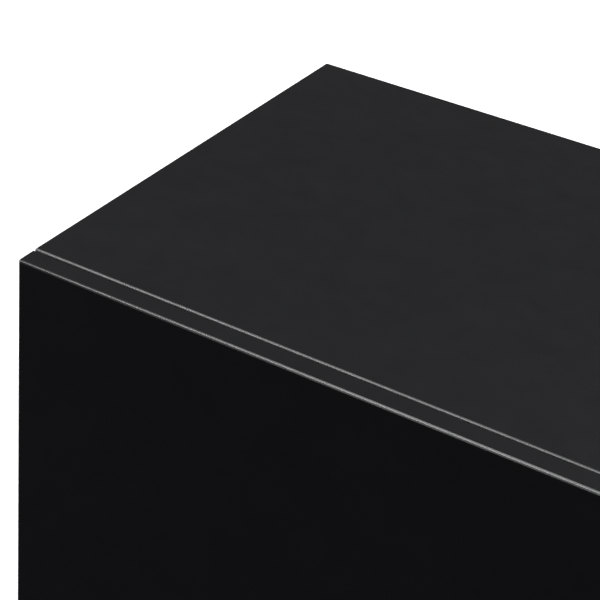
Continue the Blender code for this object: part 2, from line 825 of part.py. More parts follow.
def latch_spring():
    """Make the compression spring behind the plunger as one wire on a helix."""
    start = PLUNGER_NOSE + PLUNGER_LENGTH - PLUNGER_HOLLOW + FIT + SPRING_WIRE_RADIUS
    end = LATCH_BORE_END - PLUNGER_TRAVEL - FIT - SPRING_WIRE_RADIUS
    radius = PLUNGER_RADIUS - PLUNGER_WALL - FIT - SPRING_WIRE_RADIUS
    curve = bpy.data.curves.new("latch_spring", "CURVE")
    curve.dimensions = "3D"
    curve.bevel_depth = SPRING_WIRE_RADIUS
    curve.bevel_resolution = 1
    curve.use_fill_caps = True
    wire = curve.splines.new("POLY")
    steps = SPRING_TURNS * SPRING_POINTS_PER_TURN
    wire.points.add(steps)
    for step, point in enumerate(wire.points):
        turn = math.tau * step / SPRING_POINTS_PER_TURN
        along_axis = start + (end - start) * step / steps
        point.co = (LATCH_X + radius * math.cos(turn), along_axis, LATCH_Z + radius * math.sin(turn), 1)
    item = bpy.data.objects.new("latch_spring", curve)
    curve.materials.append(principled(SPRING_STEEL))
    PIECES.objects.link(item)
    return item


def strike_plate():
    """Make the round steel plate on the door that the plunger's magnet holds."""
    form = bmesh.new()
    start = (LATCH_X, STRIKE_FRONT, LATCH_Z)
    add_cylinder(form, start, (0, -1, 0), STRIKE_THICKNESS, STRIKE_RADIUS, STRIKE_SEGMENTS)
    item = add_object("strike_plate", form, NICKEL_STEEL)
    countersunk(item, [strike_screw_place()], (0, -1, 0), STRIKE_THICKNESS)
    apply_modifiers(item)
    smooth(item)
    return item


def latch(door_axis, latch_axis):
    """Make the whole latch: housing and screws fixed, plunger group sliding, strike on the door."""
    latch_housing()
    mesh = screw_mesh(LATCH_SCREW_LENGTH)
    for name, place in zip(("lower", "upper"), latch_screw_places()):
        turned_piece(name + "_latch_screw", mesh, place, (-1, 0, 0), BLACK_SCREW)
    for piece in (latch_plunger(), latch_magnet(), latch_spring()):
        hang(piece, latch_axis)
    mesh = screw_mesh(DOOR_SCREW_LENGTH)
    hang(turned_piece("strike_screw", mesh, strike_screw_place(), (0, -1, 0), NICKEL_STEEL), door_axis)
    hang(strike_plate(), door_axis)


def new_axis(name, place):
    """Make the empty that moving pieces are parented to, on their joint's axis."""
    item = bpy.data.objects.new(name, None)
    item.location = place
    PIECES.objects.link(item)
    bpy.context.view_layer.update()
    return item


def build():
    """Build the whole box."""
    top_panel()
    bottom_panel()
    back_panel()
    left_end()
    right_end()
    centre_divider()
    dowels()
    door_axis = new_axis("door_axis", (*HINGE_AXIS, HEIGHT / 2))
    latch_axis = new_axis("latch_axis", PLUNGER_START)
    door_panel(door_axis)
    hinges(door_axis)
    latch(door_axis, latch_axis)
    door_axis.rotation_euler.z = math.atan(DOOR_SLOPE)


clear_scene()
PIECES = new_collection("apple_box")
CUTTERS = new_collection("cutters")
build()
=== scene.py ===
"""Looks of a black laminated apple box whose front board is a push-to-open door.

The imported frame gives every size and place. The boards are modelled again with finer edges,
and the hardware is modelled or dressed, so that each surface has its own procedural finish.
"""

import json
import logging
import math
from contextlib import contextmanager
from dataclasses import dataclass
from enum import Enum
from typing import Callable, Iterator, Sequence

import bmesh
import bpy
from mathutils import Matrix, Vector


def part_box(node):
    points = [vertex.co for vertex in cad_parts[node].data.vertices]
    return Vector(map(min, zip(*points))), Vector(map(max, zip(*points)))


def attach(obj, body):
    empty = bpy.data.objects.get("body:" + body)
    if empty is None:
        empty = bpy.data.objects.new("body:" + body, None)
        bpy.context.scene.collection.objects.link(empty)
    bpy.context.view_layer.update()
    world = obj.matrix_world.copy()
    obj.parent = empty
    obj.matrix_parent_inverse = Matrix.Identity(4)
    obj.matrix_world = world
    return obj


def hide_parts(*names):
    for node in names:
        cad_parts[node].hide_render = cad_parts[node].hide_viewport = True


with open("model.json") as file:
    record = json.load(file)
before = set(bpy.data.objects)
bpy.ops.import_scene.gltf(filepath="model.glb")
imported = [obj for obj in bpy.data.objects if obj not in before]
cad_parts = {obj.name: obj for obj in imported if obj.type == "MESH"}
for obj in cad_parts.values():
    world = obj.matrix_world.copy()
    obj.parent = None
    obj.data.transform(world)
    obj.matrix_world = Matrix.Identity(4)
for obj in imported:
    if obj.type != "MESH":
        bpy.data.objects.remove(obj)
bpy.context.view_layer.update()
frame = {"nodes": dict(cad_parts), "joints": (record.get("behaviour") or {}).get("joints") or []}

LOG = logging.getLogger("apple_box")

NEAR = 0.00002
SHARP = math.radians(30)
FLAT = 0.999
LIGHT_WEAR = 0.12
MM = 0.001
FIT = 0.3 * MM


class Axis(Enum):
    """The frame's axes, by their index in a vector."""

    X = 0
    Y = 1
    Z = 2


class Body(Enum):
    """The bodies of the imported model."""

    CARCASS = "carcass"
    DOOR = "door"
    PLUNGER = "plunger"


class Slot(Enum):
    """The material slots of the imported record."""

    LAMINATE = "black_laminate"
    BEECH = "beech"
    NICKEL = "nickel_steel"
    SCREW = "black_screw"
    HOUSING = "latch_plastic"
    PLUNGER = "plunger_plastic"
    SPRING = "spring_steel"


# Hand tools: each works on one piece at a time


def deselect_all() -> None:
    """Leave nothing selected."""
    bpy.ops.object.select_all(action="DESELECT")


def pick(piece: bpy.types.Object) -> None:
    """Select one piece and make it the active one."""
    deselect_all()
    piece.select_set(True)
    bpy.context.view_layer.objects.active = piece


def settle(piece: bpy.types.Object) -> None:
    """Put a piece's place, turn and scale into its mesh."""
    pick(piece)
    bpy.ops.object.transform_apply(location=True, rotation=True, scale=True)


@contextmanager
def editing(piece: bpy.types.Object, mode: str = "EDGE") -> Iterator[bpy.types.Object]:
    """Open a piece in edit mode with nothing selected.

    Args:
        piece: The piece to open.
        mode: What is selected: VERT, EDGE or FACE.
    """
    pick(piece)
    bpy.ops.object.mode_set(mode="EDIT")
    bpy.ops.mesh.select_mode(type=mode)
    bpy.ops.mesh.select_all(action="DESELECT")
    yield piece
    bpy.ops.object.mode_set(mode="OBJECT")


def add_block(name: str, low: Sequence[float], high: Sequence[float]) -> bpy.types.Object:
    """Add a block between two corners.

    Args:
        name: The new piece's name.
        low: Its lowest corner.
        high: Its highest corner.

    Returns:
        The block, with its place in its mesh.
    """
    low, high = Vector(low), Vector(high)
    deselect_all()
    bpy.ops.mesh.primitive_cube_add(size=1.0, location=(low + high) / 2, scale=high - low)
    piece = bpy.context.object
    piece.name = name
    settle(piece)
    return piece


def add_round(
    name: str, start: Sequence[float], axis: Axis, length: float, radius: float, segments: int = 24
) -> bpy.types.Object:
    """Add a round bar that starts at a point and runs along one axis.

    Args:
        name: The new piece's name.
        start: The centre of its first end.
        axis: The way that it runs.
        length: Its length, below zero to run down the axis.
        radius: Its radius.
        segments: How many sides it has.

    Returns:
        The bar, with its place in its mesh.
    """
    middle = Vector(start)
    middle[axis.value] += length / 2
    turns = {Axis.X: (0, math.pi / 2, 0), Axis.Y: (-math.pi / 2, 0, 0), Axis.Z: (0, 0, 0)}
    deselect_all()
    bpy.ops.mesh.primitive_cylinder_add(
        vertices=segments, radius=radius, depth=abs(length), location=middle, rotation=turns[axis]
    )
    piece = bpy.context.object
    piece.name = name
    settle(piece)
    return piece


def add_turned(name: str, profile: Sequence[tuple[float, float]], segments: int = 32) -> bpy.types.Object:
    """Add a turned solid, by drawing a disc out along +Z and setting its radius at each step.

    Args:
        name: The new piece's name.
        profile: Its (height, radius) points, from the middle of one end to that of the other.
        segments: How many sides it has.

    Returns:
        The solid, with its axis on Z.
    """
    height, radius = profile[0]
    deselect_all()
    bpy.ops.mesh.primitive_circle_add(
        vertices=segments, radius=radius, fill_type="NGON", location=(0, 0, height)
    )
    piece = bpy.context.object
    piece.name = name
    settle(piece)
    with editing(piece, "FACE"):
        bpy.ops.mesh.select_all(action="SELECT")
        for next_height, next_radius in profile[1:]:
            bpy.ops.mesh.extrude_region_move(
                TRANSFORM_OT_translate={"value": (0, 0, next_height - height)}
            )
            share = next_radius / radius
            bpy.ops.transform.resize(value=(share, share, 1), center_override=(0, 0, 0))
            height, radius = next_height, next_radius
        bpy.ops.mesh.select_all(action="SELECT")
        bpy.ops.mesh.normals_make_consistent(inside=False)
    return piece


def facing(start: Sequence[float], direction: Sequence[float]) -> Matrix:
    """Return the place that has its origin at a point and its +Z along a direction."""
    turn = Vector((0, 0, 1)).rotation_difference(Vector(direction))
    return Matrix.Translation(start) @ turn.to_matrix().to_4x4()


def start_of(node: str, direction: Sequence[float]) -> Vector:
    """Return the middle of a solid's end, where a direction sets out from it."""
    low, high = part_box(node)
    half = (high - low) / 2
    return low + half - Vector([way * reach for way, reach in zip(direction, half)])


def put(piece: bpy.types.Object, place: Matrix) -> bpy.types.Object:
    """Move a piece to its place, with the move put into its mesh."""
    piece.matrix_world = place
    settle(piece)
    return piece


def copy_of(piece: bpy.types.Object, name: str) -> bpy.types.Object:
    """Return a copy of a piece, which has its own mesh."""
    pick(piece)
    bpy.ops.object.duplicate(linked=False)
    copy = bpy.context.object
    copy.name = name
    return copy


def lies_at(edge: bmesh.types.BMEdge, axis: Axis, place: float) -> bool:
    """Tell whether both ends of an edge are at one place on an axis."""
    return all(abs(vertex.co[axis.value] - place) < NEAR for vertex in edge.verts)


def is_sharp(edge: bmesh.types.BMEdge) -> bool:
    """Tell whether an edge's two faces meet at a sharp angle."""
    return edge.calc_face_angle(0.0) > SHARP


def round_edges(
    piece: bpy.types.Object, test: Callable[[bmesh.types.BMEdge], bool], radius: float, segments: int
) -> None:
    """Round the edges of a piece that a test picks out.

    Args:
        piece: The piece to work on.
        test: Tells of an edge whether it is rounded.
        radius: The radius of the rounding.
        segments: The number of its facets.
    """
    with editing(piece):
        form = bmesh.from_edit_mesh(piece.data)
        form.normal_update()
        for edge in [edge for edge in form.edges if test(edge)]:
            edge.select_set(True)
        bmesh.update_edit_mesh(piece.data)
        bpy.ops.mesh.bevel(offset=radius, segments=segments, affect="EDGES", clamp_overlap=False)


def weigh_edges(
    piece: bpy.types.Object, radius_of: Callable[[bmesh.types.BMEdge], float], segments: int
) -> None:
    """Round the sharp edges of a piece in one go, where they have several radii.

    Args:
        piece: The piece to work on.
        radius_of: Gives the radius for an edge.
        segments: The number of facets of each rounding.
    """
    with editing(piece):
        form = bmesh.from_edit_mesh(piece.data)
        form.normal_update()
        weight = form.edges.layers.float.new("bevel_weight_edge")
        radii = {edge: radius_of(edge) for edge in form.edges if is_sharp(edge)}
        widest = max(radii.values())
        for edge, radius in radii.items():
            edge[weight] = radius / widest
        bmesh.update_edit_mesh(piece.data)
    rounding = piece.modifiers.new("rounding", "BEVEL")
    rounding.limit_method = "WEIGHT"
    rounding.width = widest
    rounding.segments = segments
    rounding.use_clamp_overlap = False
    apply_all(piece)


def along_corner(edge: bmesh.types.BMEdge, start: float, reach: float) -> float | None:
    """Return how far along a round corner an edge is: 0 where it starts, and 1 where it ends.

    Args:
        edge: The edge.
        start: Where the board's straight edge lies on Y, that the corner starts from.
        reach: How far the corner runs from there, on Y.

    Returns:
        The share, or None for an edge that runs on past the corner.
    """
    steps = [abs(vertex.co.y - start) for vertex in edge.verts]
    return sum(steps) / 2 / reach if max(steps) < reach + NEAR else None


def apply_all(piece: bpy.types.Object) -> None:
    """Apply every modifier of a piece, from the first to the last."""
    pick(piece)
    for modifier in list(piece.modifiers):
        bpy.ops.object.modifier_apply(modifier=modifier.name)


def combine(
    piece: bpy.types.Object, tools: Sequence[bpy.types.Object], operation: str = "DIFFERENCE"
) -> None:
    """Cut each tool out of a piece, or join it on, and remove the tools.

    Args:
        piece: The piece to work on.
        tools: The tools, one after another.
        operation: DIFFERENCE to cut, or UNION to join.
    """
    for tool in tools:
        modifier = piece.modifiers.new(tool.name, "BOOLEAN")
        modifier.object = tool
        modifier.operation = operation
        modifier.solver = "EXACT"
    apply_all(piece)
    for tool in tools:
        bpy.data.meshes.remove(tool.data)


def ease_shading(piece: bpy.types.Object) -> None:
    """Shade round faces smooth, while flat faces keep their flat look."""
    pick(piece)
    bpy.ops.object.shade_smooth_by_angle(angle=SHARP)
    even = piece.modifiers.new("even_normals", "WEIGHTED_NORMAL")
    even.keep_sharp = True
    even.weight = 100
    apply_all(piece)


def mark_wear_and_highlight(
    piece: bpy.types.Object,
    front: float | None = None,
    painted_highlight_ends: tuple[float, float] = (1.0, 1.0),
    reach: float = 2 * MM,
) -> None:
    """Keep on each point of a board how much lighter its colour is: only its eased edges are, with light
    wear, and with a painted highlight along the long front edges.

    Args:
        piece: The board.
        front: Where the plane is whose long edges carry the painted highlight, if it has one.
        painted_highlight_ends: How strong the painted highlight is at the left and right ends of those
            edges; it is full from 1 on.
        reach: How far from that plane such an edge may lie.
    """
    mesh = piece.data
    heights = [vertex.co.z for vertex in mesh.vertices]
    ends = (min(heights), max(heights))
    widths = [vertex.co.x for vertex in mesh.vertices]
    left, length = min(widths), max(widths) - min(widths)
    wear_and_highlight = [0.0] * len(mesh.vertices)
    on_flat = set()
    for face in mesh.polygons:
        if any(abs(part) > FLAT for part in face.normal):
            on_flat.update(face.vertices)
            continue
        is_front = (
            front is not None
            and abs(face.center.y - front) < reach
            and min(abs(face.center.z - end) for end in ends) < reach
        )
        for index in face.vertices:
            # Long front edges get a painted highlight graded from end to end, and the other eased edges
            # light wear
            rub_and_highlight = painted_highlight_ends[0] + (widths[index] - left) / length * (painted_highlight_ends[1] - painted_highlight_ends[0])
            wear_and_highlight[index] = max(wear_and_highlight[index], rub_and_highlight if is_front else LIGHT_WEAR)
    for index in on_flat:
        wear_and_highlight[index] = 0.0
    attribute = mesh.attributes.new("wear_and_highlight", "FLOAT", "POINT")
    attribute.data.foreach_set("value", wear_and_highlight)


# Finishes


class NodeTree:
    """A short way to lay out a material's nodes."""

    def __init__(self, name: str) -> None:
        """Start a material with only its output and its surface shader."""
        self.material = bpy.data.materials.new(name)
        self.material.use_nodes = True
        self.tree = self.material.node_tree
        self.shader = self.tree.nodes["Principled BSDF"]

    def add(self, kind: str, **settings: object) -> bpy.types.ShaderNode:
        """Add a node.

        Args:
            kind: The node's type, without its ShaderNode prefix.
            **settings: Properties of the node, and under inputs the values of its sockets.

        Returns:
            The node.
        """
        node = self.tree.nodes.new("ShaderNode" + kind)
        for socket, value in settings.pop("inputs", {}).items():
            node.inputs[socket].default_value = value
        for key, value in settings.items():
            setattr(node, key, value)
        return node

    def link(self, source: bpy.types.NodeSocket, target: bpy.types.NodeSocket) -> None:
        """Join two sockets."""
        self.tree.links.new(source, target)

    def place(self, scale: Sequence[float] = (1, 1, 1)) -> bpy.types.NodeSocket:
        """Return the object's own coordinates, scaled along each axis."""
        coordinates = self.add("TexCoord")
        mapping = self.add("Mapping", inputs={"Scale": scale})
        self.link(coordinates.outputs["Object"], mapping.inputs["Vector"])
        return mapping.outputs["Vector"]

    def noise(
        self, place: bpy.types.NodeSocket, scale: float, detail: float = 3.0, roughness: float = 0.5
    ) -> bpy.types.NodeSocket:
        """Return soft noise about 1/scale metres across."""
        node = self.add("TexNoise", inputs={"Scale": scale, "Detail": detail, "Roughness": roughness})
        self.link(place, node.inputs["Vector"])
        return node.outputs["Fac"]

    def ranged(
        self, value: bpy.types.NodeSocket, low: float, high: float, start: float = 0.3, end: float = 0.7
    ) -> bpy.types.NodeSocket:
        """Return a value that runs from low to high as the given one runs from start to end."""
        node = self.add(
            "MapRange", inputs={"From Min": start, "From Max": end, "To Min": low, "To Max": high}
        )
        self.link(value, node.inputs["Value"])
        return node.outputs["Result"]

    def mixed(
        self,
        share: bpy.types.NodeSocket,
        first: bpy.types.NodeSocket | Sequence[float],
        second: bpy.types.NodeSocket | Sequence[float],
    ) -> bpy.types.NodeSocket:
        """Return a blend of two colours, each a socket or three numbers."""
        node = self.add("Mix", data_type="RGBA")
        self.link(share, node.inputs[0])
        for socket, colour in ((node.inputs[6], first), (node.inputs[7], second)):
            if isinstance(colour, bpy.types.NodeSocket):
                self.link(colour, socket)
            else:
                socket.default_value = (*colour, 1.0)
        return node.outputs[2]

    def bump(
        self, height: bpy.types.NodeSocket, depth: float, before: bpy.types.NodeSocket | None = None
    ) -> bpy.types.NodeSocket:
        """Return normals for a relief of that depth in metres, on top of those of another."""
        node = self.add("Bump", inputs={"Strength": 1.0, "Distance": depth})
        self.link(height, node.inputs["Height"])
        if before is not None:
            self.link(before, node.inputs["Normal"])
        return node.outputs["Normal"]


@dataclass(frozen=True)
class Laminate:
    """Satin black laminate with a fine pearl texture, a little lighter along its eased edges: light wear on
    them, and a painted highlight along the long front edges.
    """

    name: str = "satin_black_laminate"
    colour: tuple[float, float, float] = (0.0034, 0.0034, 0.0038)
    mottle: tuple[float, float, float] = (0.0045, 0.0045, 0.0050)
    rub_and_highlight: tuple[float, float, float] = (0.080, 0.080, 0.081)
    roughness: float = 0.28
    rubbed_roughness: float = 0.24

    def material(self) -> bpy.types.Material:
        """Lay out the finish."""
        nodes = NodeTree(self.name)
        place = nodes.place()
        cloud = nodes.noise(place, 38.0, 4.0, 0.6)
        colour = nodes.mixed(nodes.ranged(cloud, 0.0, 1.0), self.colour, self.mottle)
        wear_and_highlight = nodes.add("Attribute", attribute_name="wear_and_highlight").outputs["Fac"]
        patchy = nodes.add("Math", operation="MULTIPLY")
        nodes.link(wear_and_highlight, patchy.inputs[0])
        nodes.link(nodes.ranged(nodes.noise(place, 260.0, 2.0), 0.85, 1.0), patchy.inputs[1])
        # Lighter colour where the attribute is set: light wear on eased edges, and a painted highlight on
        # the long front edges
        colour = nodes.mixed(patchy.outputs[0], colour, self.rub_and_highlight)
        nodes.link(colour, nodes.shader.inputs["Base Color"])
        gloss = nodes.ranged(nodes.noise(place, 90.0, 2.0), self.roughness - 0.02, self.roughness + 0.02)
        worn = nodes.add("Mix", data_type="FLOAT", inputs={3: self.rubbed_roughness})
        nodes.link(wear_and_highlight, worn.inputs[0])
        nodes.link(gloss, worn.inputs[2])
        nodes.link(worn.outputs[0], nodes.shader.inputs["Roughness"])
        pearl = nodes.noise(place, 1500.0, 2.0)
        nodes.link(nodes.bump(pearl, 0.000003), nodes.shader.inputs["Normal"])
        return nodes.material


@dataclass(frozen=True)
class PlainFinish:
    """A finish of one colour with fine variation in its colour, gloss and relief."""

    name: str
    colour: tuple[float, float, float]
    second: tuple[float, float, float]
    roughness: float
    metallic: float = 0.0
    grain: tuple[float, float, float] = (1.0, 1.0, 1.0)
    scale: float = 400.0
    depth: float = 0.00001

    def material(self) -> bpy.types.Material:
        """Lay out the finish."""
        nodes = NodeTree(self.name)
        place = nodes.place(self.grain)
        cloud = nodes.noise(place, self.scale, 3.0)
        share = nodes.ranged(cloud, 0.0, 1.0)
        nodes.link(nodes.mixed(share, self.colour, self.second), nodes.shader.inputs["Base Color"])
        nodes.link(
            nodes.ranged(cloud, self.roughness - 0.05, self.roughness + 0.05),
            nodes.shader.inputs["Roughness"],
        )
        nodes.shader.inputs["Metallic"].default_value = self.metallic
        fine = nodes.noise(place, self.scale * 4, 2.0)
        nodes.link(nodes.bump(fine, self.depth), nodes.shader.inputs["Normal"])
        return nodes.material


BEECH = PlainFinish("beech", (0.52, 0.34, 0.19), (0.60, 0.43, 0.26), 0.6, grain=(8, 8, 1), scale=60)
NICKEL = PlainFinish(
    "brushed_nickel", (0.50, 0.49, 0.47), (0.60, 0.59, 0.57), 0.32, 1.0, (1, 1, 30), 120.0, 0.000004
)
BLACK_SCREW = PlainFinish("black_oxide", (0.03, 0.03, 0.03), (0.06, 0.06, 0.06), 0.40, 0.8)
HOUSING = PlainFinish("charcoal_moulding", (0.045, 0.045, 0.05), (0.06, 0.06, 0.065), 0.5)
PLUNGER = PlainFinish("grey_moulding", (0.30, 0.30, 0.31), (0.36, 0.36, 0.37), 0.42)
SPRING = PlainFinish("drawn_wire", (0.55, 0.55, 0.55), (0.65, 0.65, 0.65), 0.25, 1.0)


def dress(piece: bpy.types.Object, material: bpy.types.Material) -> None:
    """Give a piece one material all over."""
    if len(piece.material_slots) == 0:
        piece.data.materials.append(material)
    for slot in piece.material_slots:
        slot.material = material


def hang(
    piece: bpy.types.Object, body: Body, slot: Slot, material: bpy.types.Material, *nodes: str
) -> bpy.types.Object:
    """Finish a new piece, and let it stand for solids of the frame.

    Args:
        piece: The piece, in place.
        body: The body that it moves with.
        slot: The record's slot that its finish belongs to; not used.
        material: Its material.
        *nodes: The solids that it stands for.

    Returns:
        The piece.
    """
    dress(piece, material)
    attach(piece, body.value)
    if nodes:
        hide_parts(*nodes)
    LOG.info("%s: %d faces, rides on %s", piece.name, len(piece.data.polygons), body.value)
    return piece


def made(finish: Laminate | PlainFinish) -> bpy.types.Material:
    """Return the material of a finish, which is laid out on its first use."""
    return bpy.data.materials.get(finish.name) or finish.material()


# Sub-assemblies


@dataclass
class Dowels:
    """Fluted beech dowels that hold the boards together, and the bores that they sit in."""

    flutes: int = 10
    flute_depth: float = 0.25 * MM
    chamfer: float = 0.6 * MM
    segments: int = 40
    joints: tuple[tuple[str, tuple[int, int, int]], ...] = (
        ("top_dowel", (0, 0, -1)),
        ("bottom_dowel", (0, 0, 1)),
        ("back_dowel", (0, -1, 0)),
    )

    def build(self) -> None:
        """Model one dowel, and copy it into every joint."""
        low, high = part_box("top_dowel_1")
        radius, length = (high.x - low.x) / 2, high.z - low.z
        rim = radius - self.chamfer
        profile = [(0, rim), (self.chamfer, radius), (length - self.chamfer, radius), (length, rim)]
        first = add_turned("dowel_pattern", profile, self.segments)
        self.flute(first, radius)
        ease_shading(first)
        for prefix, direction in self.joints:
            for node in nodes_named(prefix):
                dowel = put(copy_of(first, "fluted_" + node), facing(start_of(node, direction), direction))
                hang(dowel, Body.CARCASS, Slot.BEECH, made(BEECH), node)
        bpy.data.meshes.remove(first.data)

    def flute(self, dowel: bpy.types.Object, radius: float) -> None:
        """Draw every fourth line of a dowel's side in, for the glue to run along."""
        share = 1 - self.flute_depth / radius
        step = math.tau / self.flutes
        with editing(dowel, "VERT"):
            form = bmesh.from_edit_mesh(dowel.data)
            for vertex in form.verts:
                turn = math.atan2(vertex.co.y, vertex.co.x) / step
                vertex.select_set(abs(turn - round(turn)) < 0.1)
            bmesh.update_edit_mesh(dowel.data)
            bpy.ops.transform.resize(value=(share, share, 1), center_override=(0, 0, 0))

    def tools(self, low: Vector, high: Vector) -> list[bpy.types.Object]:
        """Return a bar for each dowel that reaches into a board, to bore it.

        Args:
            low: The board's lowest corner.
            high: Its highest corner.
        """
        tools = []
        for prefix, direction in self.joints:
            axis = Axis.Z if direction[2] else Axis.Y
            for node in nodes_named(prefix):
                near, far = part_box(node)
                if all(near[i] < high[i] and far[i] > low[i] for i in range(3)):
                    tools.append(bore(node, axis, (far.x - near.x) / 2 + FIT))
        return tools


def nodes_named(prefix: str) -> list[str]:
    """Return the frame's solids whose names start with a word, in order."""
    return sorted(name for name in frame["nodes"] if name.startswith(prefix))


def bore(node: str, axis: Axis, radius: float) -> bpy.types.Object:
    """Return a bar along a solid of the frame, a little longer than it, to bore a hole for it."""
    low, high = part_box(node)
    start = (low + high) / 2
    start[axis.value] = low[axis.value] - FIT
    length = high[axis.value] - low[axis.value] + 2 * FIT
    return add_round(node + "_bore", start, axis, length, radius)


@dataclass
class Hinge:
    """A small butt hinge let in flush: two leaves whose knuckles share a pin."""

    length: float = 50 * MM
    leaf_width: float = 12 * MM
    leaf_thickness: float = 1.2 * MM
    barrel_radius: float = 2.0 * MM
    barrel_clearance: float = 0.4 * MM
    pin_radius: float = 1.0 * MM
    pin_clearance: float = 0.1 * MM
    knuckles: int = 5
    knuckle_gap: float = 0.3 * MM
    board_gap: float = 0.4 * MM
    chamfer: float = 0.12 * MM
    overshoot: float = 12 * MM

    @property
    def axis(self) -> Vector:
        """The line that the door turns about."""
        joint = next(joint for joint in frame["joints"] if joint["name"] == "door_hinge")
        return Vector(joint["pos_m"])

    @property
    def far_edge(self) -> float:
        """How far from the barrel the leaves reach."""
        return self.axis.x - self.barrel_radius - self.barrel_clearance - self.leaf_width

    def heights(self) -> dict[str, float]:
        """Return the height of each hinge's middle."""
        boxes = {name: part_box(name + "_hinge_pin") for name in ("lower", "upper")}
        return {name: (low.z + high.z) / 2 for name, (low, high) in boxes.items()}

    def build(self, door_turn: Matrix) -> None:
        """Model both hinges with their pins and screws.

        Args:
            door_turn: How the door stands at rest.
        """
        for name, height in self.heights().items():
            fixed = self.leaf(name + "_fixed_leaf", height, 1)
            hang(fixed, Body.CARCASS, Slot.NICKEL, made(NICKEL), name + "_hinge_carcass_leaf")
            swinging = put(self.leaf(name + "_swinging_leaf", height, -1), door_turn)
            hang(swinging, Body.DOOR, Slot.NICKEL, made(NICKEL), name + "_hinge_door_leaf")
            hang(self.pin(name), Body.CARCASS, Slot.NICKEL, made(NICKEL), name + "_hinge_pin")
        still = Matrix.Identity(4)
        Screw.drive(nodes_named("hinge_carcass_screw"), (0, 1, 0), Body.CARCASS, still, NICKEL)
        Screw.drive(nodes_named("hinge_door_screw"), (0, -1, 0), Body.DOOR, door_turn, NICKEL)

    def spans(self, side: int) -> list[tuple[float, float]]:
        """Return the lower and upper height of a leaf's knuckles, about the hinge's middle."""
        pitch = (self.length + self.knuckle_gap) / self.knuckles
        first = 0 if side > 0 else 1
        lows = [-self.length / 2 + index * pitch for index in range(first, self.knuckles, 2)]
        return [(low, low + pitch - self.knuckle_gap) for low in lows]

    def leaf(self, name: str, height: float, side: int) -> bpy.types.Object:
        """Model a leaf: a plate with a tongue and a knuckle for each span, bored for pin and screws.

        Args:
            name: The new piece's name.
            height: The hinge's middle.
            side: 1 for the carcass, -1 for the door.

        Returns:
            The leaf.
        """
        axis = self.axis
        faces = sorted(axis.y + side * (self.board_gap / 2 + depth) for depth in (0, self.leaf_thickness))
        edge = self.far_edge + self.leaf_width
        leaf = add_block(
            name,
            (self.far_edge, faces[0], height - self.length / 2),
            (edge, faces[1], height + self.length / 2),
        )
        round_edges(leaf, is_sharp, self.chamfer, 2)
        parts = []
        for low, high in self.spans(side):
            parts.append(
                add_block(
                    name + "_tongue",
                    (edge - self.leaf_thickness, faces[0], height + low),
                    (axis.x, faces[1], height + high),
                )
            )
            knuckle = add_round(
                name + "_knuckle",
                (axis.x, axis.y, height + low),
                Axis.Z,
                high - low,
                self.barrel_radius,
                36,
            )
            round_edges(knuckle, is_sharp, self.chamfer, 2)
            parts.append(knuckle)
        combine(leaf, parts, "UNION")
        start = (axis.x, axis.y, height - self.length)
        radius = self.pin_radius + self.pin_clearance
        holes = [add_round(name + "_bore", start, Axis.Z, 2 * self.length, radius, 36)]
        for node in nodes_named("hinge_carcass_screw" if side > 0 else "hinge_door_screw"):
            low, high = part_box(node)
            middle = (low + high) / 2
            if abs(middle.z - height) < self.length / 2:
                middle.y = axis.y + side * self.board_gap / 2
                holes.append(Screw().countersink(facing(middle, (0, side, 0)), self.leaf_thickness))
        combine(leaf, holes)
        ease_shading(leaf)
        return leaf

    def pin(self, name: str) -> bpy.types.Object:
        """Model a pin with rounded ends."""
        low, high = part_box(name + "_hinge_pin")
        start = Vector((self.axis.x, self.axis.y, low.z))
        pin = add_round(name + "_turned_pin", start, Axis.Z, high.z - low.z, self.pin_radius, 32)
        round_edges(pin, is_sharp, 3 * self.chamfer, 4)
        ease_shading(pin)
        return pin

    def mortises(self, side: int) -> list[bpy.types.Object]:
        """Return the blocks that let the leaves and barrels into a board; side is as for a leaf."""
        axis = self.axis
        half = self.length / 2 + FIT
        leaf_depth = self.board_gap / 2 + self.leaf_thickness + FIT
        cuts = (
            (self.far_edge - FIT, leaf_depth),
            (axis.x - self.barrel_radius - FIT, self.barrel_radius + FIT),
        )
        tools = []
        for height in self.heights().values():
            for low_x, depth in cuts:
                faces = sorted((axis.y + side * depth, axis.y - side * self.overshoot))
                tools.append(
                    add_block(
                        "mortise",
                        (low_x, faces[0], height - half),
                        (axis.x + self.overshoot, faces[1], height + half),
                    )
                )
        return tools


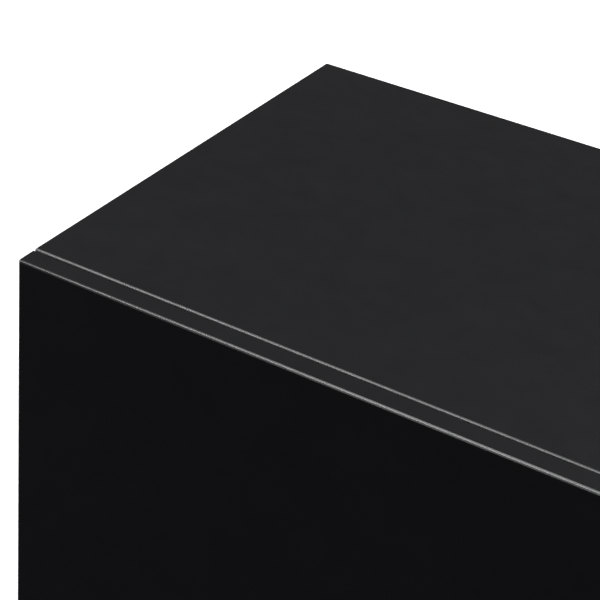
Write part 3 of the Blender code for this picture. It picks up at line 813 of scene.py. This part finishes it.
@dataclass(frozen=True)
class Screw:
    """A countersunk wood screw with a cross recess, its head flush at its origin and its point up +Z."""

    length: float = 16 * MM
    radius: float = 1.25 * MM
    core: float = 0.9 * MM
    head_radius: float = 2.4 * MM
    head_depth: float = 0.9 * MM
    head_edge: float = 0.15 * MM
    point: float = 2.0 * MM
    pitch: float = 0.85 * MM
    recess_reach: float = 1.3 * MM
    recess_width: float = 0.5 * MM
    recess_depth: float = 0.62 * MM

    def profile(self) -> list[tuple[float, float]]:
        """Return the turned outline: head, plain neck, thread ridges and point."""
        neck = self.head_depth + 1.2 * self.pitch
        outline = [(0, self.head_radius - 0.3 * self.head_edge), (0.3 * self.head_edge, self.head_radius)]
        outline += [(self.head_edge, self.head_radius), (self.head_depth, self.radius), (neck, self.radius)]
        outline.append((neck + 0.1 * self.pitch, self.core))
        place = neck + 0.1 * self.pitch
        while place + 1.2 * self.pitch < self.length - self.point:
            outline += [(place + 0.45 * self.pitch, self.core), (place + 0.65 * self.pitch, self.radius)]
            outline += [(place + 0.8 * self.pitch, self.radius), (place + self.pitch, self.core)]
            place += self.pitch
        return outline + [(self.length - self.point, self.core), (self.length, 0.2 * self.core)]

    def model(self, name: str) -> bpy.types.Object:
        """Model the screw at the origin."""
        screw = add_turned(name, self.profile(), 28)
        reach, half, depth = self.recess_reach, self.recess_width / 2, self.recess_depth
        arms = []
        for across in (False, True):
            wide = (half, reach) if across else (reach, half)
            arm = add_block(name + "_recess", (-wide[0], -wide[1], -depth), (wide[0], wide[1], depth))
            with editing(arm, "FACE"):
                form = bmesh.from_edit_mesh(arm.data)
                for face in form.faces:
                    face.select_set(face.normal.z > FLAT)
                bmesh.update_edit_mesh(arm.data)
                bpy.ops.transform.resize(value=(0.45, 0.45, 1), center_override=(0, 0, 0))
            arms.append(arm)
        combine(screw, arms)
        ease_shading(screw)
        return screw

    def countersink(self, place: Matrix, thickness: float) -> bpy.types.Object:
        """Return the tool for a countersunk hole through a plate, in its place."""
        hole, head = self.radius + FIT, self.head_radius + FIT
        profile = [(-FIT, head), (self.head_edge, head), (self.head_depth, hole), (thickness + FIT, hole)]
        return put(add_turned("countersink", profile, 36), place)

    @classmethod
    def drive(
        cls,
        nodes: Sequence[str],
        direction: tuple[int, int, int],
        body: Body,
        turn: Matrix,
        finish: PlainFinish,
    ) -> None:
        """Model one screw for several solids of the frame, and copy it into the place of each.

        Args:
            nodes: The solids.
            direction: The way that the screws are driven in.
            body: The body that they move with.
            turn: How their body stands at rest.
            finish: Their finish.
        """
        axis = next(index for index, part in enumerate(direction) if part)
        low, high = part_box(nodes[0])
        first = cls(length=round(high[axis] - low[axis], 4)).model("screw_pattern")
        slot = Slot.SCREW if finish is BLACK_SCREW else Slot.NICKEL
        for node in nodes:
            place = facing(start_of(node, direction), turn.to_3x3() @ Vector(direction))
            hang(put(copy_of(first, "driven_" + node), place), body, slot, made(finish), node)
        bpy.data.meshes.remove(first.data)


@dataclass
class Carcass:
    """The fixed box: two panels, two ends with hand holes, a back, and an upright between."""

    front_arris: float = 1.0 * MM
    # Painted highlight strength at the left and right ends of the front edge: not seen as wear, but set so
    # that the bright line fits the photo
    painted_highlight_ends: tuple[float, float] = (1.0, 0.0)
    arris: float = 0.5 * MM
    swing_radius: float = 5.5 * MM
    housing_depth: float = 4.0 * MM
    hole_length: float = 102 * MM
    hole_height: float = 32 * MM
    hole_rim: float = 3.0 * MM
    screw_bore: float = 1.55 * MM

    def build(self, dowels: Dowels, hinge: Hinge) -> None:
        """Model each board and give it its finish.

        Args:
            dowels: The dowels that need their bores.
            hinge: The hinges that the right end is cut for.
        """
        boards = {
            "top_panel": self.panel("top_board", "top_panel", True, dowels),
            "bottom_panel": self.panel("bottom_board", "bottom_panel", False, dowels),
            "back_panel": self.plain_board("back_board", "back_panel", dowels),
            "centre_divider": self.plain_board("middle_board", "centre_divider", dowels),
            "left_end": self.end("left_board", "left_end", dowels, None),
            "right_end": self.end("right_board", "right_end", dowels, hinge),
        }
        for node, board in boards.items():
            hang(board, Body.CARCASS, Slot.LAMINATE, made(Laminate()), node)

    def panel(self, name: str, node: str, is_top: bool, dowels: Dowels) -> bpy.types.Object:
        """Model the top or the bottom board.

        Args:
            name: The new piece's name.
            node: The solid that it stands for.
            is_top: Whether its outer side is its upper one.
            dowels: The dowels that need their bores.

        Returns:
            The board.
        """
        low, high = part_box(node)
        board = add_block(name, low, high)
        ease_swing_corner(board, high.x, low.y, self.swing_radius)
        outer, inner = (high.z, low.z) if is_top else (low.z, high.z)

        def radius_of(edge: bmesh.types.BMEdge) -> float:
            """Ease the outer front edge more, which runs out along the swing corner."""
            share = along_corner(edge, low.y, self.swing_radius)
            if share is None or not lies_at(edge, Axis.Z, outer):
                return self.arris
            return self.front_arris + share * (self.arris - self.front_arris)

        weigh_edges(board, radius_of, 6)
        divider_low, divider_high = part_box("centre_divider")
        reach = sorted((inner - self.housing_depth, inner + self.housing_depth))
        housing = add_block(
            "housing",
            (divider_low.x - FIT, low.y - self.housing_depth, reach[0]),
            (divider_high.x + FIT, divider_high.y + 2 * FIT, reach[1]),
        )
        combine(board, [housing, *dowels.tools(low, high)])
        ease_shading(board)
        mark_wear_and_highlight(board, low.y, self.painted_highlight_ends)
        return board

    def plain_board(self, name: str, node: str, dowels: Dowels) -> bpy.types.Object:
        """Model a board with nothing but eased edges and dowel bores."""
        low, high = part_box(node)
        board = add_block(name, low, high)
        round_edges(board, is_sharp, self.arris, 4)
        combine(board, dowels.tools(low, high))
        ease_shading(board)
        mark_wear_and_highlight(board)
        return board

    def end(self, name: str, node: str, dowels: Dowels, hinge: Hinge | None) -> bpy.types.Object:
        """Model an end board with its hand hole.

        Args:
            name: The new piece's name.
            node: The solid that it stands for.
            dowels: The dowels that need their bores.
            hinge: The hinges that it is cut for, if it carries them.

        Returns:
            The board.
        """
        low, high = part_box(node)
        board = add_block(name, low, high)
        if hinge is not None:
            ease_swing_corner(board, high.x, low.y, self.swing_radius)
        middle = (low + high) / 2
        outer_low, outer_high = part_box("top_panel")
        middle.y = (outer_low.y + outer_high.y) / 2
        reach = Vector((high.x - low.x, self.hole_length / 2, self.hole_height / 2))
        hole = add_block("hand_hole", middle - reach, middle + reach)
        round_edges(
            hole,
            lambda edge: abs(edge.verts[0].co.x - edge.verts[1].co.x) > reach.x,
            self.hole_height / 2 - NEAR,
            24,
        )
        combine(board, [hole])

        def is_rim(edge: bmesh.types.BMEdge) -> bool:
            """Tell whether an edge runs round the hand hole on one face of the board."""
            on_face = lies_at(edge, Axis.X, low.x) or lies_at(edge, Axis.X, high.x)
            return on_face and all(abs(vertex.co.z - middle.z) < reach.z + NEAR for vertex in edge.verts)

        weigh_edges(board, lambda edge: self.hole_rim if is_rim(edge) else self.arris, 8)
        tools = dowels.tools(low, high)
        if hinge is not None:
            tools += hinge.mortises(1)
            screws = nodes_named("hinge_carcass_screw")
            tools += [bore(screw, Axis.Y, self.screw_bore) for screw in screws]
        else:
            screws = nodes_named("lower_latch_screw") + nodes_named("upper_latch_screw")
            tools += [bore(screw, Axis.X, self.screw_bore) for screw in screws]
        combine(board, tools)
        ease_shading(board)
        mark_wear_and_highlight(board)
        return board


def ease_swing_corner(board: bpy.types.Object, x: float, y: float, radius: float) -> None:
    """Round the upright edge of a board at its hinge end, so that the door swings clear."""
    round_edges(board, lambda edge: lies_at(edge, Axis.X, x) and lies_at(edge, Axis.Y, y), radius, 12)


@dataclass
class Door:
    """The full-overlay front board, which stands a little off the carcass at its free edge."""

    front_arris: float = 1.15 * MM
    # Painted highlight strength along the front edge, as for the top board: set to the photo's bright line
    painted_highlight_ends: tuple[float, float] = (0.2, 3.0)
    top_arris: float = 0.2 * MM
    arris: float = 0.5 * MM
    swing_radius: float = 5.5 * MM
    thickness: float = 10.0 * MM
    free_gap: float = 1.1 * MM
    screw_bore: float = 1.55 * MM

    def turn(self, hinge: Hinge) -> Matrix:
        """Return the small turn about the hinge axis that the door has at rest."""
        low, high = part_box("top_panel")
        angle = math.atan((self.free_gap - hinge.board_gap) / (high.x - low.x))
        pivot = Matrix.Translation(hinge.axis)
        return pivot @ Matrix.Rotation(angle, 4, "Z") @ pivot.inverted()

    def build(self, hinge: Hinge) -> None:
        """Model the door and give it its finish.

        Args:
            hinge: The hinges that it hangs on.
        """
        low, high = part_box("door_panel")
        carcass_low, carcass_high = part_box("top_panel")
        low.x, high.x = carcass_low.x, carcass_high.x
        high.y = carcass_low.y - hinge.board_gap
        low.y = high.y - self.thickness
        door = add_block("door_board", low, high)
        ease_swing_corner(door, high.x, high.y, self.swing_radius)

        def radius_of(edge: bmesh.types.BMEdge) -> float:
            """Ease the front more, and the top edge of the back less, out along the swing corner."""
            share = along_corner(edge, high.y, self.swing_radius)
            if lies_at(edge, Axis.Y, low.y):
                return self.front_arris
            if share is None or not lies_at(edge, Axis.Z, high.z):
                return self.arris
            return self.top_arris + share * (self.arris - self.top_arris)

        weigh_edges(door, radius_of, 6)
        screws = [*nodes_named("hinge_door_screw"), "strike_screw"]
        tools = [bore(screw, Axis.Y, self.screw_bore) for screw in screws]
        combine(door, tools + hinge.mortises(-1))
        ease_shading(door)
        mark_wear_and_highlight(door, low.y, self.painted_highlight_ends)
        put(door, self.turn(hinge))
        hang(door, Body.DOOR, Slot.LAMINATE, made(Laminate()), "door_panel")


@dataclass
class Latch:
    """The push-to-open latch: a moulded case with a sprung plunger, and a strike plate on the door."""

    case_rounding: float = 1.5 * MM
    ear_rounding: float = 3.0 * MM
    ear_edge: float = 0.4 * MM
    ear_thickness: float = 2.8 * MM
    ear_length: float = 20 * MM
    ear_height: float = 10 * MM
    back_wall: float = 2.0 * MM
    pocket_margin: float = 2.2 * MM
    pocket_depth: float = 0.4 * MM
    plunger_wall: float = 0.8 * MM
    plunger_hollow: float = 12 * MM
    magnet_wall: float = 0.3 * MM
    nose_rounding: float = 0.4 * MM
    magnet_chamfer: float = 0.15 * MM
    wire: float = 0.3 * MM
    turns: int = 8
    strike_chamfer: float = 0.2 * MM

    def build(self, door_turn: Matrix) -> None:
        """Model the latch and give each piece its finish.

        Args:
            door_turn: How the door stands at rest.
        """
        hang(self.case(), Body.CARCASS, Slot.HOUSING, made(HOUSING), "latch_housing")
        hang(self.plunger(), Body.PLUNGER, Slot.PLUNGER, made(PLUNGER), "latch_plunger")
        hang(self.magnet(), Body.PLUNGER, Slot.NICKEL, made(NICKEL), "latch_magnet")
        hang(self.spring(), Body.PLUNGER, Slot.SPRING, made(SPRING), "latch_spring")
        hang(self.strike(door_turn), Body.DOOR, Slot.NICKEL, made(NICKEL), "strike_plate")
        still = Matrix.Identity(4)
        Screw.drive(["lower_latch_screw", "upper_latch_screw"], (-1, 0, 0), Body.CARCASS, still, BLACK_SCREW)
        Screw.drive(["strike_screw"], (0, -1, 0), Body.DOOR, door_turn, NICKEL)

    def case(self) -> bpy.types.Object:
        """Model the case: a rounded block with a pocket in its side, two screw ears and a bore."""
        low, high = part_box("latch_housing")
        middle = (low + high) / 2
        top = high.z - self.ear_height
        bottom = low.z + self.ear_height
        case = add_block("latch_case", (low.x, low.y, bottom), (high.x, high.y, top))
        with editing(case, "FACE"):
            form = bmesh.from_edit_mesh(case.data)
            for face in form.faces:
                face.select_set(face.normal.x > FLAT)
            bmesh.update_edit_mesh(case.data)
            bpy.ops.mesh.inset(thickness=self.pocket_margin)
            bpy.ops.mesh.inset(thickness=self.pocket_depth, depth=-self.pocket_depth)
        round_edges(
            case,
            lambda edge: is_sharp(edge) and is_outer(edge, low, high, top, bottom),
            self.case_rounding,
            8,
        )
        ears = add_block(
            "latch_ears",
            (low.x, middle.y - self.ear_length / 2, low.z),
            (low.x + self.ear_thickness, middle.y + self.ear_length / 2, high.z),
        )
        round_edges(
            ears,
            lambda edge: abs(edge.verts[0].co.x - edge.verts[1].co.x) > NEAR,
            self.ear_rounding,
            8,
        )
        round_edges(
            ears,
            lambda edge: is_sharp(edge) and lies_at(edge, Axis.X, low.x + self.ear_thickness),
            self.ear_edge,
            3,
        )
        combine(case, [ears], "UNION")
        nose_low, nose_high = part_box("latch_plunger")
        radius = (nose_high.z - nose_low.z) / 2 + FIT
        centre = (nose_low + nose_high) / 2
        centre.y = low.y - self.ear_height
        length = high.y - self.back_wall - centre.y
        holes = [add_round("plunger_bore", centre, Axis.Y, length, radius, 40)]
        for node in ("lower_latch_screw", "upper_latch_screw"):
            place = facing(start_of(node, (-1, 0, 0)), (-1, 0, 0))
            holes.append(Screw().countersink(place, self.ear_thickness))
        combine(case, holes)
        ease_shading(case)
        return case

    def plunger(self) -> bpy.types.Object:
        """Model the plunger: a turned bar with a rounded nose, a magnet recess and a hollow tail."""
        low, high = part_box("latch_plunger")
        magnet_low, magnet_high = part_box("latch_magnet")
        radius, length = (high.z - low.z) / 2, high.y - low.y
        recess = (magnet_high.z - magnet_low.z) / 2 + self.magnet_wall
        depth = magnet_high.y - magnet_low.y + self.magnet_wall
        hollow = radius - self.plunger_wall
        arc = [
            (
                self.nose_rounding * (1 - math.cos(math.pi / 8 * step)),
                radius - self.nose_rounding * (1 - math.sin(math.pi / 8 * step)),
            )
            for step in range(5)
        ]
        profile = [(depth, recess), (0, recess), *arc, (length, radius), (length, hollow)]
        profile.append((length - self.plunger_hollow, hollow))
        inward = (0, 1, 0)
        place = facing(start_of("latch_plunger", inward), inward)
        plunger = put(add_turned("turned_plunger", profile, 40), place)
        ease_shading(plunger)
        return plunger

    def magnet(self) -> bpy.types.Object:
        """Model the magnet, a short plated bar with chamfered rims."""
        low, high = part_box("latch_magnet")
        radius, length, rim = (high.z - low.z) / 2, high.y - low.y, self.magnet_chamfer
        profile = [(0, radius - rim), (rim, radius), (length - rim, radius), (length, radius - rim)]
        place = facing(start_of("latch_magnet", (0, 1, 0)), (0, 1, 0))
        magnet = put(add_turned("plated_magnet", profile, 32), place)
        ease_shading(magnet)
        return magnet

    def spring(self) -> bpy.types.Object:
        """Model the spring: a ring of wire drawn round the axis into a helix, with its ends closed."""
        low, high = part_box("latch_spring")
        radius = (high.z - low.z) / 2 - self.wire
        pitch = (high.y - low.y - 2 * self.wire) / self.turns
        deselect_all()
        bpy.ops.mesh.primitive_circle_add(
            vertices=12, radius=self.wire, location=(radius, 0, 0), rotation=(math.pi / 2, 0, 0)
        )
        spring = bpy.context.object
        spring.name = "wound_spring"
        settle(spring)
        winding = spring.modifiers.new("winding", "SCREW")
        winding.screw_offset = pitch
        winding.iterations = self.turns
        winding.steps = winding.render_steps = 28
        apply_all(spring)
        with editing(spring, "EDGE"):
            bpy.ops.mesh.select_non_manifold(extend=False)
            bpy.ops.mesh.edge_face_add()
            bpy.ops.mesh.select_all(action="SELECT")
            bpy.ops.mesh.normals_make_consistent(inside=False)
        start = start_of("latch_spring", (0, 1, 0)) + Vector((0, self.wire, 0))
        put(spring, facing(start, (0, 1, 0)))
        ease_shading(spring)
        return spring

    def strike(self, door_turn: Matrix) -> bpy.types.Object:
        """Model the strike plate: a steel disc with a chamfered rim and a countersunk hole."""
        low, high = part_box("strike_plate")
        radius, thickness, rim = (high.z - low.z) / 2, 1.0 * MM, self.strike_chamfer
        profile = [(0, radius - rim), (rim, radius), (thickness, radius)]
        direction = door_turn.to_3x3() @ Vector((0, -1, 0))
        place = facing(start_of("strike_plate", (0, -1, 0)), direction)
        plate = put(add_turned("round_strike", profile, 56), place)
        combine(plate, [Screw().countersink(place, thickness)])
        ease_shading(plate)
        return plate


def is_outer(edge: bmesh.types.BMEdge, low: Vector, high: Vector, top: float, bottom: float) -> bool:
    """Tell whether an edge lies on the outside of the latch's case, and not in its pocket."""
    sides = [lies_at(edge, Axis.X, low.x), lies_at(edge, Axis.X, high.x)]
    sides += [lies_at(edge, Axis.Y, low.y), lies_at(edge, Axis.Y, high.y)]
    sides += [lies_at(edge, Axis.Z, bottom), lies_at(edge, Axis.Z, top)]
    return sum(sides) == 2


# Studio


@dataclass(frozen=True)
class Studio:
    """A plain pale floor, soft lights and the camera."""

    camera_place: tuple[float, float, float] = (-0.008343, -0.472122, 0.447943)
    azimuth: float = 19.520
    elevation: float = 32.816
    roll: float = 10.173
    lens: float = 66.910
    shift: tuple[float, float] = (-0.03, 0.03)
    sensor: float = 36.0
    clip_start: float = 0.01
    floor_size: float = 12.0
    floor_colour: tuple[float, float, float] = (0.5, 0.5, 0.5)
    floor_reflected: tuple[float, float, float] = (0.032, 0.032, 0.036)
    floor_glow: tuple[float, float] = (0.62, 1.1)
    glow_reach: tuple[float, float] = (0.5, 1.6)
    sky_colour: tuple[float, float, float] = (0.95, 0.96, 1.0)
    # Sine of the heights over which the sky brightens, which keeps the top as even as in the photo
    sky_heights: tuple[float, float] = (0.40, 0.70)
    sky_light: tuple[float, float] = (0.085, 0.26)
    sky_seen: float = 1.1

    def build(self) -> None:
        """Set up the whole studio."""
        self.camera()
        self.floor()
        self.sky()
        self.lights()
        bpy.context.scene.view_settings.view_transform = "Standard"

    def camera(self) -> None:
        """Place the camera at the photograph's viewing angle."""
        deselect_all()
        bpy.ops.object.camera_add(location=self.camera_place)
        camera = bpy.context.object
        camera.name = "camera"
        azimuth, elevation = math.radians(self.azimuth), math.radians(self.elevation)
        right = Vector((math.cos(azimuth), math.sin(azimuth), 0))
        back = Vector(
            (
                math.sin(azimuth) * math.cos(elevation),
                -math.cos(azimuth) * math.cos(elevation),
                math.sin(elevation),
            )
        )
        level = Matrix((right, back.cross(right), back)).transposed()
        turned = level @ Matrix.Rotation(math.radians(self.roll), 3, "Z")
        camera.rotation_euler = turned.to_euler()
        camera.data.sensor_width = self.sensor
        camera.data.lens = self.lens
        camera.data.shift_x, camera.data.shift_y = self.shift
        camera.data.clip_start = self.clip_start
        bpy.context.scene.camera = camera

    def floor(self) -> None:
        """Lay a plain pale floor: white to look at, with a soft shadow, and dark in reflections."""
        deselect_all()
        bpy.ops.mesh.primitive_plane_add(size=self.floor_size, location=(0, 0, 0))
        floor = bpy.context.object
        floor.name = "floor"
        nodes = NodeTree("pale_floor")
        seen = nodes.add("AddShader")
        pale = nodes.add("BsdfDiffuse", inputs={"Color": (*self.floor_colour, 1)})
        glow = nodes.add("Emission")
        distance = nodes.add("VectorMath", operation="LENGTH")
        nodes.link(nodes.place(), distance.inputs[0])
        near, far = self.floor_glow
        nodes.link(
            nodes.ranged(distance.outputs["Value"], near, far, *self.glow_reach), glow.inputs["Strength"]
        )
        nodes.link(pale.outputs[0], seen.inputs[0])
        nodes.link(glow.outputs[0], seen.inputs[1])
        unseen = nodes.add("BsdfDiffuse", inputs={"Color": (*self.floor_reflected, 1)})
        path = nodes.add("LightPath")
        mix = nodes.add("MixShader")
        nodes.link(path.outputs["Is Camera Ray"], mix.inputs[0])
        nodes.link(unseen.outputs[0], mix.inputs[1])
        nodes.link(seen.outputs[0], mix.inputs[2])
        output = nodes.tree.nodes["Material Output"]
        nodes.link(mix.outputs[0], output.inputs["Surface"])
        nodes.tree.nodes.remove(nodes.shader)
        dress(floor, nodes.material)

    def sky(self) -> None:
        """Make the room round the set: white to look at, and as a light, dim and dimmer low down."""
        world = bpy.data.worlds.new("room")
        bpy.context.scene.world = world
        world.use_nodes = True
        tree = world.node_tree
        background = tree.nodes["Background"]
        background.inputs["Color"].default_value = (*self.sky_colour, 1)
        direction = tree.nodes.new("ShaderNodeTexCoord")
        parts = tree.nodes.new("ShaderNodeSeparateXYZ")
        tree.links.new(direction.outputs["Generated"], parts.inputs[0])
        light = tree.nodes.new("ShaderNodeMapRange")
        light.inputs["From Min"].default_value, light.inputs["From Max"].default_value = self.sky_heights
        light.inputs["To Min"].default_value, light.inputs["To Max"].default_value = self.sky_light
        tree.links.new(parts.outputs["Z"], light.inputs["Value"])
        path = tree.nodes.new("ShaderNodeLightPath")
        strength = tree.nodes.new("ShaderNodeMapRange")
        tree.links.new(light.outputs["Result"], strength.inputs["To Min"])
        strength.inputs["To Max"].default_value = self.sky_seen
        tree.links.new(path.outputs["Is Camera Ray"], strength.inputs["Value"])
        tree.links.new(strength.outputs["Result"], background.inputs["Strength"])

    def lights(self) -> None:
        """Hang the soft lights."""
        self.soft_light("overhead", (0.0, 0.0, 2.4), (0.0, 0.0, 0.0), (2.4, 1.6), 19.0)
        self.soft_light("front_high", (-0.3, -1.37, 1.66), (-0.3, -0.15, 0.2), (0.8, 0.55), 14.0)
        self.soft_light("front_top", (-0.2, -1.05, 1.88), (-0.2, -0.15, 0.2), (0.9, 0.55), 6.0)
        self.soft_light("left_high", (-1.1, -1.1, 1.85), (-0.4, -0.15, 0.2), (0.8, 0.55), 17.0)
        self.soft_light("right_side", (1.9, 0.1, 1.1), (0.0, 0.0, 0.1), (1.2, 1.0), 45.0)
        self.soft_light("left_side", (-1.9, 0.1, 1.1), (0.0, 0.0, 0.1), (1.2, 1.0), 22.0)
        self.soft_light("back_right", (1.3, 1.9, 1.0), (0.0, 0.0, 0.1), (1.2, 1.0), 40.0)

    def soft_light(
        self,
        name: str,
        place: Sequence[float],
        target: Sequence[float],
        size: tuple[float, float],
        power: float,
    ) -> None:
        """Hang one rectangular soft light.

        Args:
            name: The light's name.
            place: Where it hangs.
            target: The point that it faces.
            size: Its width and height.
            power: Its power in watts.
        """
        deselect_all()
        bpy.ops.object.light_add(type="AREA", location=place)
        light = bpy.context.object
        light.name = name
        light.data.shape = "RECTANGLE"
        light.data.size, light.data.size_y = size
        light.data.energy = power
        light.rotation_euler = (Vector(target) - Vector(place)).to_track_quat("-Z", "Y").to_euler()
        light.visible_camera = False


def main() -> None:
    """Build the sub-assemblies and the studio in order."""
    logging.basicConfig(level=logging.INFO, format="%(name)s: %(message)s")
    dowels, hinge, door = Dowels(), Hinge(), Door()
    turn = door.turn(hinge)
    Carcass().build(dowels, hinge)
    dowels.build()
    door.build(hinge)
    hinge.build(turn)
    Latch().build(turn)
    Studio().build()


if __name__ == "__main__":
    main()
